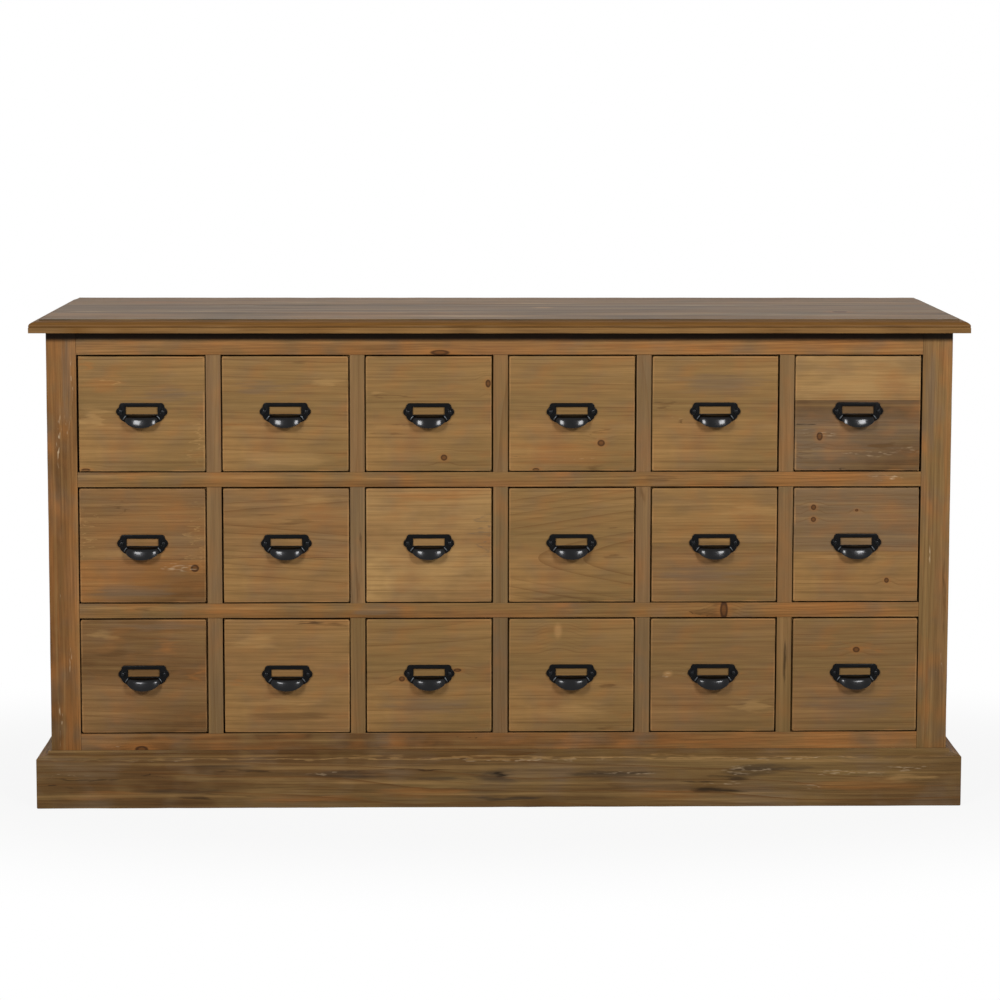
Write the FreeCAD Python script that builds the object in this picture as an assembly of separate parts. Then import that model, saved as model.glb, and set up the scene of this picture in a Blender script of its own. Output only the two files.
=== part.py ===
import FreeCAD, Part
import math
import os
from FreeCAD import Vector

# Sideboard of old pine: three rows of six flush drawers in a face frame, on a moulded plinth.
# Millimetres. The origin is on the floor under the middle of the top. The front faces -Y.

# Overall sizes
height = 954.0
top_width = 1800.0
top_depth = 450.0
front_overhang = 33.0
side_overhang = 27.0
row_names = ("bottom", "middle", "top")
rail_names = ("lower_rail", "upper_rail")
columns = 6

# Top board and the moulding along its front and both ends
top_thickness = 26.0
moulding_width = 18.0
moulding_quirk = 2.5
moulding_edge = 13.0

# Face frame
frame_thickness = 22.0
stile_width = 58.0
muntin_width = 29.0
rail_height = 29.0
top_rail_height = 45.0
bottom_rail_height = 90.0
sill_height = 141.0
frame_ease = 1.2
edge_tolerance = 1e-6

# Case behind the frame
side_thickness = 20.0
back_thickness = 10.0
back_board_count = 12
back_board_gap = 0.5
back_board_vee = 2.0
back_floor_gap = 40.0
bottom_thickness = 12.0
rear_rail_thickness = 22.0
runner_ledge = 18.0
guide_height = 18.0
stop_width = 40.0
stop_thickness = 15.0
stop_height = 30.0
cleat_size = 25.0
support_width = 30.0
support_setback = 20.0
glue_block_size = 25.0
glue_block_length = 60.0

# Plinth
plinth_thickness = 25.0
plinth_height = 109.0
plinth_face = 98.0
plinth_fillet = 6.0
plinth_quirk = 5.0
plinth_crown = 2.0
plinth_foot_ease = 2.0

# Drawers
front_thickness = 22.0
front_ease = 1.8
front_lap = 8.0
drawer_side_thickness = 12.0
drawer_back_thickness = 12.0
drawer_back_drop = 12.0
drawer_bottom_thickness = 6.0
slip_width = 9.0
slip_height = 10.0

# Clearances of a drawer in its opening
side_gap = 2.2
top_gap = 2.8
sole_gap = 1.7
tip_gap = 4.0
running_gap = 0.3

# Cup pull with a card frame
pull_drop = 3.0
plate_thickness = 3.2
plate_top = 23.0
plate_shoulder = 4.5
bar_half_width = 38.5
window_width = 61.0
window_height = 16.0
window_below_top = 7.0
ear_spacing = 81.0
ear_below_top = 17.0
ear_radius = 8.5
ear_start_angle = 55.0
ear_end_angle = -50.0
plate_bevel = 0.8
tail_half_width = 38.5
tail_drop = 7.6
tail_angle = 32.0
hood_wall = 2.6
hood_lip_half_width = 37.5
hood_lip_drop = 23.0
# Drop below the window, half width and reach of the hood at each level, from its root down
hood_levels = (
    (0.0, 29.5, 3.6),
    (1.8, 31.4, 9.2),
    (4.6, 33.3, 14.4),
    (8.2, 34.8, 18.0),
    (12.6, 35.9, 20.2),
    (18.0, 36.4, 21.0),
)
hood_roundness = 2.7
hood_sides = 11
ear_sides = 6
lip_sides = 16
screw_head_radius = 3.8
screw_head_height = 1.8
screw_rim_share = 0.4
screw_crown_share = 0.6
screw_sides = 8

# Places that follow from the sizes above
rows = len(row_names)
top_under = height - top_thickness
back_plane = top_depth / 2
frame_front = front_overhang - top_depth / 2
frame_back = frame_front + frame_thickness
body_half = top_width / 2 - side_overhang
case_half = body_half - side_thickness
frame_half = body_half - stile_width
opening_width = (2 * frame_half - (columns - 1) * muntin_width) / columns
opening_height = (top_under - top_rail_height - sill_height - (rows - 1) * rail_height) / rows
case_back = back_plane - back_thickness
rear_rail_front = case_back - rear_rail_thickness
runner_under = sill_height - rail_height
drawer_end = rear_rail_front - running_gap
hood_root = plate_top - window_below_top - window_height


def sill(row):
    return sill_height + row * (opening_height + rail_height)


def column_middle(column):
    return -frame_half + opening_width / 2 + column * (opening_width + muntin_width)


def post_spans(ledge):
    # Left and right limits of the posts between the openings and at both ends, each widened by a ledge
    spans = [(-case_half, -frame_half + ledge)]
    for column in range(columns - 1):
        middle = column_middle(column) + (opening_width + muntin_width) / 2
        spans.append((middle - muntin_width / 2 - ledge, middle + muntin_width / 2 + ledge))
    spans.append((frame_half - ledge, case_half))
    return spans


def board(x_span, y_span, z_span):
    low = Vector(x_span[0], y_span[0], z_span[0])
    return Part.makeBox(x_span[1] - low.x, y_span[1] - low.y, z_span[1] - low.z, low)


def side_span(side, middle, near, far):
    # Span between two distances from a middle line, on its left (-1) or its right (1)
    return tuple(sorted((middle + side * near, middle + side * far)))


def prism(points, sweep):
    return Part.Face(Part.makePolygon(points + points[:1])).extrude(sweep)


def faceted(rings):
    # Solid through rings of points that lie in step, closed by flat facets
    outlines = [rings[0], rings[-1]]
    for low, high in zip(rings, rings[1:]):
        for index in range(len(low)):
            follow = (index + 1) % len(low)
            outlines.append([low[index], low[follow], high[follow], high[index]])
    faces = [Part.Face(Part.makePolygon(outline + outline[:1])) for outline in outlines]
    return Part.makeSolid(Part.makeShell(faces))


def moulded(edges, sweep):
    return Part.Face(Part.Wire(edges)).extrude(sweep)


def eased(solid, size, along):
    # Bevels the edges of the front face that run along one axis, or all of them for "xz"
    face_y = solid.BoundBox.YMin
    edges = []
    for edge in solid.Edges:
        ends = [vertex.Point for vertex in edge.Vertexes]
        on_face = all(abs(point.y - face_y) < edge_tolerance for point in ends)
        run = ends[1] - ends[0]
        direction = "x" if abs(run.x) > abs(run.z) else "z"
        if on_face and direction in along:
            edges.append(edge)
    return solid.makeChamfer(size, edges)


def save(name, *solids):
    shape = solids[0] if len(solids) == 1 else Part.makeCompound(list(solids))
    shape.exportStep("parts/" + name + ".step")


# Top board
def ovolo_edges(outer, inner, place):
    # Moulded end of the top's section, from the underside up to the flat, as seen along the board
    springing = top_under + moulding_edge
    crown = height - moulding_quirk
    width = inner - outer
    rise = crown - springing
    bulge = math.sqrt(0.5)
    middle = place(inner - width * bulge, springing + rise * bulge)
    return [
        Part.makeLine(place(outer, top_under), place(outer, springing)),
        Part.Arc(place(outer, springing), middle, place(inner, crown)).toShape(),
        Part.makeLine(place(inner, crown), place(inner, height)),
    ]


def top_board():
    half = top_width / 2
    front = -top_depth / 2

    def across(offset, level):
        return Vector(-half, offset, level)

    def along(offset, level):
        return Vector(offset, front, level)

    section = ovolo_edges(front, front + moulding_width, across)
    section += [
        Part.makeLine(across(front + moulding_width, height), across(back_plane, height)),
        Part.makeLine(across(back_plane, height), across(back_plane, top_under)),
        Part.makeLine(across(back_plane, top_under), across(front, top_under)),
    ]
    length = ovolo_edges(-half, moulding_width - half, along)
    flat_half = half - moulding_width
    length.append(Part.makeLine(along(-flat_half, height), along(flat_half, height)))
    length += reversed(ovolo_edges(half, half - moulding_width, along))
    length.append(Part.makeLine(along(half, top_under), along(-half, top_under)))
    return moulded(section, Vector(top_width, 0, 0)).common(moulded(length, Vector(0, top_depth, 0)))


# Face frame
def stile(side):
    x_span = side_span(side, 0, frame_half, body_half)
    return eased(board(x_span, (frame_front, frame_back), (0, top_under)), frame_ease, "z")


def rail(low, high):
    length = board((-frame_half, frame_half), (frame_front, frame_back), (low, high))
    return eased(length, frame_ease, "x")


def muntins():
    pieces = []
    for row in range(rows):
        for span in post_spans(0)[1:-1]:
            z_span = (sill(row), sill(row) + opening_height)
            pieces.append(eased(board(span, (frame_front, frame_back), z_span), frame_ease, "z"))
    return pieces


# Case
def side_panel(side):
    return board(side_span(side, 0, case_half, body_half), (frame_back, back_plane), (0, top_under))


def back_boards():
    # Upright boards with a vee at each joint
    pitch = 2 * case_half / back_board_count
    pieces = []
    for index in range(back_board_count):
        left = -case_half + index * pitch + back_board_gap / 2
        right = left + pitch - back_board_gap
        low = back_floor_gap
        section = [
            Vector(left, case_back, low),
            Vector(right, case_back, low),
            Vector(right, back_plane - back_board_vee, low),
            Vector(right - back_board_vee, back_plane, low),
            Vector(left + back_board_vee, back_plane, low),
            Vector(left, back_plane - back_board_vee, low),
        ]
        pieces.append(prism(section, Vector(0, 0, top_under - low)))
    return pieces


def bottom_board():
    z_span = (runner_under - bottom_thickness, runner_under)
    return board((-case_half, case_half), (frame_back, case_back), z_span)


def runners(row):
    z_span = (sill(row) - rail_height, sill(row))
    return [board(span, (frame_back, rear_rail_front), z_span) for span in post_spans(runner_ledge)]


def guides():
    pieces = []
    for row in range(rows):
        z_span = (sill(row), sill(row) + guide_height)
        pieces += [board(span, (frame_back, rear_rail_front), z_span) for span in post_spans(0)]
    return pieces


def kickers():
    z_span = (top_under - top_rail_height, top_under)
    return [board(span, (frame_back, rear_rail_front), z_span) for span in post_spans(runner_ledge)]


def rear_rails():
    levels = [(sill(row) - rail_height, sill(row)) for row in range(rows)]
    levels.append((top_under - top_rail_height, top_under))
    return [board((-case_half, case_half), (rear_rail_front, case_back), level) for level in levels]


def stops():
    # Blocks on the rear rails that the drawer backs meet
    pieces = []
    for row in range(rows):
        for column in range(columns):
            middle = column_middle(column)
            x_span = (middle - stop_width / 2, middle + stop_width / 2)
            y_span = (rear_rail_front, rear_rail_front + stop_thickness)
            pieces.append(board(x_span, y_span, (sill(row), sill(row) + stop_height)))
    return pieces


def bearers():
    # Cleats on the side panels, and supports that stand on the floor, under the bottom board
    under = runner_under - bottom_thickness
    pieces = []
    for side in (-1, 1):
        cleat_span = side_span(side, 0, case_half - cleat_size, case_half)
        pieces.append(board(cleat_span, (frame_back, case_back), (under - cleat_size, under)))
        middle = side * (opening_width + muntin_width)
        x_span = (middle - support_width / 2, middle + support_width / 2)
        y_span = (frame_back + support_setback, case_back - support_setback)
        pieces.append(board(x_span, y_span, (0, under)))
    return pieces


def glue_blocks():
    # Three-cornered blocks in the angle between each stile and its side panel
    pieces = []
    for row in range(rows):
        low = sill(row) + (opening_height - glue_block_length) / 2
        for side in (-1, 1):
            corner = Vector(side * case_half, frame_back, low)
            section = [
                corner,
                corner - Vector(side * glue_block_size, 0, 0),
                corner + Vector(0, glue_block_size, 0),
            ]
            pieces.append(prism(section, Vector(0, 0, glue_block_length)))
    return pieces


# Plinth
def plinth_section(place):
    # Foot, upright face, crowned slope, quirk and fillet, from the case outwards
    slope_middle = place((plinth_fillet + plinth_thickness) / 2,
                         (plinth_height - plinth_quirk + plinth_face) / 2 + plinth_crown)
    corners = [
        place(plinth_fillet, plinth_height - plinth_quirk),
        place(plinth_fillet, plinth_height),
        place(0, plinth_height),
        place(0, 0),
        place(plinth_thickness - plinth_foot_ease, 0),
        place(plinth_thickness, plinth_foot_ease),
        place(plinth_thickness, plinth_face),
    ]
    edges = [Part.makeLine(start, end) for start, end in zip(corners, corners[1:])]
    edges.append(Part.Arc(corners[-1], slope_middle, corners[0]).toShape())
    return edges


def front_plinth():
    outer = body_half + plinth_thickness
    section = plinth_section(lambda out, up: Vector(-outer, frame_front - out, up))
    plan = [
        Vector(-outer, frame_front - plinth_thickness, 0),
        Vector(outer, frame_front - plinth_thickness, 0),
        Vector(body_half, frame_front, 0),
        Vector(-body_half, frame_front, 0),
    ]
    run = moulded(section, Vector(2 * outer, 0, 0))
    return run.common(prism(plan, Vector(0, 0, plinth_height)))


def side_plinth(side):
    front = frame_front - plinth_thickness
    outer = body_half + plinth_thickness
    section = plinth_section(lambda out, up: Vector(side * (body_half + out), front, up))
    plan = [
        Vector(side * body_half, frame_front, 0),
        Vector(side * outer, front, 0),
        Vector(side * outer, back_plane, 0),
        Vector(side * body_half, back_plane, 0),
    ]
    run = moulded(section, Vector(0, back_plane - front, 0))
    return run.common(prism(plan, Vector(0, 0, plinth_height)))


# Drawer: front rebated over the ends of the sides, bottom carried on slips
def drawer(row, column):
    middle = column_middle(column)
    low = sill(row)
    half = opening_width / 2 - side_gap
    inner = half - drawer_side_thickness
    lap_back = frame_front + front_lap
    front_back = frame_front + front_thickness
    outline = ((half, frame_front), (half, lap_back), (inner, lap_back), (inner, front_back))
    section = [Vector(middle + x, y, low + sole_gap) for x, y in outline]
    section += [Vector(middle - x, y, low + sole_gap) for x, y in reversed(outline)]
    front = prism(section, Vector(0, 0, opening_height - sole_gap - top_gap))
    pieces = [eased(front, front_ease, "xz")]
    side_foot = low + running_gap
    side_head = low + opening_height - tip_gap
    bottom_under = side_foot + slip_height
    bottom_top = bottom_under + drawer_bottom_thickness
    for side in (-1, 1):
        wall = side_span(side, middle, inner, half)
        slip = side_span(side, middle, inner - slip_width, inner)
        pieces.append(board(wall, (lap_back, drawer_end), (side_foot, side_head)))
        pieces.append(board(slip, (front_back, drawer_end), (side_foot, bottom_under)))
    inside = (middle - inner, middle + inner)
    pieces.append(board(inside, (front_back, drawer_end), (bottom_under, bottom_top)))
    back_span = (drawer_end - drawer_back_thickness, drawer_end)
    pieces.append(board(inside, back_span, (bottom_top, side_head - drawer_back_drop)))
    return pieces


# Cup pull: one casting with a card window, two ears and an open hood, and a screw in each ear
def lip_point(degrees):
    # Point on the half ellipse that the hood's lip follows when it is seen from the front
    angle = math.radians(degrees)
    return (hood_lip_half_width * math.cos(angle), hood_root - hood_lip_drop * math.sin(angle))


def plate_outline():
    # Right half of the plate from the bar's end down to the tail, mirrored for the left half
    ear_x = ear_spacing / 2
    ear_z = plate_top - ear_below_top
    points = [(bar_half_width, plate_top), (bar_half_width + plate_shoulder, plate_top - plate_shoulder)]
    ear_turn = ear_end_angle - ear_start_angle
    for step in range(ear_sides + 1):
        angle = math.radians(ear_start_angle + ear_turn * step / ear_sides)
        points.append((ear_x + ear_radius * math.cos(angle), ear_z + ear_radius * math.sin(angle)))
    points.append((tail_half_width, hood_root - tail_drop))
    points.append(lip_point(tail_angle))
    left = [(-x, z) for x, z in reversed(points)]
    return points + left


def plate():
    # The rim draws in a little towards the front
    outline = plate_outline()
    drawn_in = 1 - plate_bevel / bar_half_width
    rings = []
    for out, draft in ((0, 1), (plate_thickness - plate_bevel, 1), (plate_thickness, drawn_in)):
        rings.append([Vector(x * draft, -out, z * draft) for x, z in outline])
    return faceted(rings)


def hood_section(half_width, reach, level, back):
    # Points where neighbouring tangents of a round-cornered half ring meet, so that its facets stay flat.
    # The ring's foot lies that far behind the plate's back, and its closing side as far again.
    power = hood_roundness / (hood_roundness - 1)
    tangents = []
    for step in range(hood_sides):
        angle = math.pi * step / (hood_sides - 1)
        across = math.cos(angle)
        out = math.sin(angle)
        distance = (abs(half_width * across) ** power + abs(reach * out) ** power) ** (1 / power)
        tangents.append((across, out, distance))
    points = [Vector(half_width, 2 * back, level)]
    for first, second in zip(tangents, tangents[1:]):
        turn = first[0] * second[1] - first[1] * second[0]
        x = (first[2] * second[1] - second[2] * first[1]) / turn
        y = (first[0] * second[2] - second[0] * first[2]) / turn
        points.append(Vector(x, back - y, level))
    points.append(Vector(-half_width, 2 * back, level))
    return points


def hood_solid(wall):
    # Outside of the hood for no wall, or its open hollow, set in, down and back by the casting's wall
    sections = []
    for drop, half_width, reach in hood_levels:
        sections.append(hood_section(half_width - wall, reach, hood_root - drop - wall, wall))
    foot = hood_root - hood_lip_drop - 2 * wall
    sections.append(hood_section(half_width - wall, reach, foot, wall))
    return faceted(sections)


def lip_prism():
    # Everything above the lip
    outline = [lip_point(180 * step / lip_sides) for step in range(lip_sides + 1)]
    outline += [(-hood_lip_half_width, plate_top), (hood_lip_half_width, plate_top)]
    reach = hood_levels[-1][2]
    return prism([Vector(x, 0, z) for x, z in outline], Vector(0, -2 * reach, 0))


def casting():
    hood = hood_solid(0).common(lip_prism())
    window_top = plate_top - window_below_top
    half_window = window_width / 2
    window = board((-half_window, half_window), (-2 * plate_thickness, plate_thickness),
                   (window_top - window_height, window_top))
    return plate().fuse(hood).cut(hood_solid(hood_wall)).cut(window).removeSplitter().Solids[0]


def screw_head(side):
    # Low dome on the ear, with a few flats for its round rim
    centre = Vector(side * ear_spacing / 2, -plate_thickness, plate_top - ear_below_top)
    rings = []
    for radius, out in ((1.0, 0.0), (1.0, screw_rim_share), (screw_crown_share, 1.0)):
        ring = []
        for step in range(screw_sides):
            angle = 2 * math.pi * step / screw_sides
            spoke = Vector(math.cos(angle), 0, math.sin(angle)) * (screw_head_radius * radius)
            ring.append(centre + spoke - Vector(0, screw_head_height * out, 0))
        rings.append(ring)
    return faceted(rings)


def pull(row, column, pieces):
    middle = sill(row) + opening_height / 2 - pull_drop
    place = Vector(column_middle(column), frame_front, middle)
    return [piece.translated(place) for piece in pieces]


os.makedirs("parts", exist_ok=True)
save("top_board", top_board())
save("left_stile", stile(-1))
save("right_stile", stile(1))
save("top_rail", rail(top_under - top_rail_height, top_under))
for row, name in enumerate(rail_names, 1):
    save(name, rail(sill(row) - rail_height, sill(row)))
save("bottom_rail", rail(sill_height - bottom_rail_height, sill_height))
save("muntins", *muntins())
save("left_side", side_panel(-1))
save("right_side", side_panel(1))
save("back_boards", *back_boards())
save("bottom_board", bottom_board())
save("drawer_guides", *guides())
save("kickers", *kickers())
save("rear_rails", *rear_rails())
save("drawer_stops", *stops())
save("bottom_bearers", *bearers())
save("glue_blocks", *glue_blocks())
save("front_plinth", front_plinth())
save("left_plinth", side_plinth(-1))
save("right_plinth", side_plinth(1))
pull_pieces = [casting(), screw_head(-1), screw_head(1)]
for row in range(rows):
    save(row_names[row] + "_runners", *runners(row))
    for column in range(columns):
        label = str(column + 1)
        save(row_names[row] + "_drawer_" + label, *drawer(row, column))
        save(row_names[row] + "_pull_" + label, *pull(row, column, pull_pieces))
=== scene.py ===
import math

import bmesh
import bpy
from mathutils import Matrix, Vector, noise


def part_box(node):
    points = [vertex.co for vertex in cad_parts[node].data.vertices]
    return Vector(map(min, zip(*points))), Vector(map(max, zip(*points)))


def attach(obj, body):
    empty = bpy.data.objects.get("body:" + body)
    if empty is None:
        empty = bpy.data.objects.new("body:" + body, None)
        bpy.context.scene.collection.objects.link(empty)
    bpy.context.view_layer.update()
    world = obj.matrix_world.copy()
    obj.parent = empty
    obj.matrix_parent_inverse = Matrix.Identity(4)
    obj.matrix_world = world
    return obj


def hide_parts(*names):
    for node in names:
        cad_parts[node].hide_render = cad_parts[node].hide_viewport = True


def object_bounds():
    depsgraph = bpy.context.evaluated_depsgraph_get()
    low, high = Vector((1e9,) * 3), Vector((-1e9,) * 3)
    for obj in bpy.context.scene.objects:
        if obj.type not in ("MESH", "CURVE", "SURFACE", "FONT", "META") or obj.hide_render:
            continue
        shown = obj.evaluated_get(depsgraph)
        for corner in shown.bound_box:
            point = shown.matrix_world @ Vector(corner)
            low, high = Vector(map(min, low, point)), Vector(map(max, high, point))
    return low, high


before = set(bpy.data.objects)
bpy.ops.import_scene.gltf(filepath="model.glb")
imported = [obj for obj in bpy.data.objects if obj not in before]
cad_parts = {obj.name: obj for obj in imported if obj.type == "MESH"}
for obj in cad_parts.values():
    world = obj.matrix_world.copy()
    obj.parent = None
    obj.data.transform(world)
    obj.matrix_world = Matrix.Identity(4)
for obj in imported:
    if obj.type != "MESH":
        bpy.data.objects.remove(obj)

cad_low, cad_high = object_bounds()
mm = 0.001
axis_x, axis_y, axis_z = range(3)

# Top board: three wide boards of old pine glued edge to edge, brushed so that the hard rings stand up and
# rubbed with matt wax that has gone grey. An ovolo with a small groove under it runs round front and ends.
wood_tones = {
    "honey": "#8f6c40",
    "straw": "#a38050",
    "tan": "#82613c",
    "amber": "#8f6236",
    "olive": "#735a36",
    "umber": "#573d22",
    "grey": "#6c5842",
    "slate": "#564836",
    "russet": "#935f30",
    "walnut_and_shade": "#3b2413",
    "soot_and_shade": "#17100a",
    "chalk": "#b8a080",
    "fresh": "#b58a58",
    "ochre": "#66441a",
    "latewood": "#5c3c1d",
    "sepia": "#7c5a30",
    "char": "#382d22",
}
# Tone and strength of each kind of mark, and how far it pushes the rings aside in millimetres
marks = {
    "knot": ("walnut_and_shade", 0.95, 9.0),
    "red_knot": ("walnut_and_shade", 0.9, 6.0),
    "light_knot": ("fresh", 0.4, 10.0),
    "dark": ("umber", 0.7, 0.0),
    "black": ("soot_and_shade", 0.8, 0.0),
    "orange": ("russet", 0.42, 0.0),
    "light": ("straw", 0.5, 0.0),
    "pale": ("chalk", 0.75, 0.0),
    "grey": ("grey", 0.7, 0.0),
    "slate": ("char", 0.75, 0.0),
    "chip": ("chalk", 0.45, 0.0),
    "streak": ("chalk", 0.6, 0.0),
}
speckled_marks = ("pale", "chip")
# How much of a mark, from its middle out, has its full strength
stain_core = 0.25
knot_core = 0.7
# Size and strength of the reddish ring round a knot and of its heart, against the knot itself
halo_wide, halo_high, halo_share = 2.4, 2.0, 0.4
heart_size, heart_core, heart_share = 0.62, 0.5, 0.25
# The rings swell round a knot as far as this, along and across the grain, against the knot itself
swell_wide, swell_high = 5, 4
# Length along the grain, then width across it, of each field of colour or relief, in millimetres. Real fibres
# are too fine to show, so they are drawn about 2.6 mm wide.
wood_fields = (
    ("bend", (500.0, 90.0, 90.0), 1.0),
    ("tone", (420.0, 90.0, 90.0), 1.0),
    ("cloud", (85.0, 60.0, 60.0), 2.0),
    ("blotch", (75.0, 42.0, 42.0), 2.0),
    ("band", (700.0, 11.0, 11.0), 2.0),
    ("fibre", (90.0, 2.6, 2.6), 2.0),
    ("fleck", (16.0, 3.4, 3.4), 1.0),
)
# Which field tints the wood, from and to which value, how strongly, and with what
field_tints = (
    ("cloud", 0.48, 0.72, 0.5, "grey"),
    ("blotch", 0.5, 0.74, 0.42, "russet"),
    ("blotch", 0.47, 0.28, 0.4, "olive"),
    ("band", 0.5, 0.78, 0.34, "umber"),
    ("band", 0.48, 0.24, 0.34, "straw"),
)
quiet_tints = tuple(tint for tint in field_tints if tint[-1] != "russet")
planed_tints = tuple(tint for tint in field_tints if tint[0] == "band")
# Size of the tears in a stain's outline, and how far they reach, in millimetres along and across the grain
tear_size = (70.0, 9.0, 9.0)
tear_reach = (170.0, 0.0, 22.0)
# Jumps of the pattern, in millimetres, from board to board and over a seam, so that no two boards match
board_jump = (317.0, 41.0, 83.0)
seam_jump = (211.0, 23.0, 67.0)
# How much of its own tone a board has beyond a seam, and how wide and dark the seam itself is
seam_tone_share = 0.7
seam_half_width = 0.45
seam_share = 0.5
# How late in each year's growth the hard wood sets in, how dark it is, and how proud against the fibres
ring_sharpness = 5.0
ring_share = 0.6
ring_relief = 0.6
band_relief = 0.6
fibre_share = 0.15
roughness_spread = 0.06
wax_sheen = 0.1


def linear(code):
    parts = [int(code[start:start + 2], 16) / 255 for start in (1, 3, 5)]
    return (*[p / 12.92 if p <= 0.04045 else ((p + 0.055) / 1.055) ** 2.4 for p in parts], 1.0)


def add(tree, kind, inputs=None, **settings):
    node = tree.nodes.new("ShaderNode" + kind)
    for key, value in settings.items():
        setattr(node, key, value)
    for key, value in (inputs or {}).items():
        socket = node.inputs[key] if isinstance(key, int) else next(
            s for s in node.inputs if s.enabled and s.name == key)
        if isinstance(value, bpy.types.NodeSocket):
            tree.links.new(value, socket)
        else:
            socket.default_value = value
    return next(s for s in node.outputs if s.enabled)


def patch(tree, place, middle, size, core=stain_core):
    # 1 in the core of a soft-edged oval on the board's face, 0 from its rim outwards, at any depth
    depth_ignored = 1e6
    near = add(tree, "Mapping", {"Vector": place, "Location": (middle[0], 0.0, middle[1]),
                                 "Scale": (size[0] / 2, depth_ignored, size[1] / 2)}, vector_type="TEXTURE")
    far = add(tree, "VectorMath", {0: near}, operation="LENGTH")
    return add(tree, "MapRange", {"Value": far, "From Min": 1.0, "From Max": core},
               interpolation_type="SMOOTHSTEP")


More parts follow.
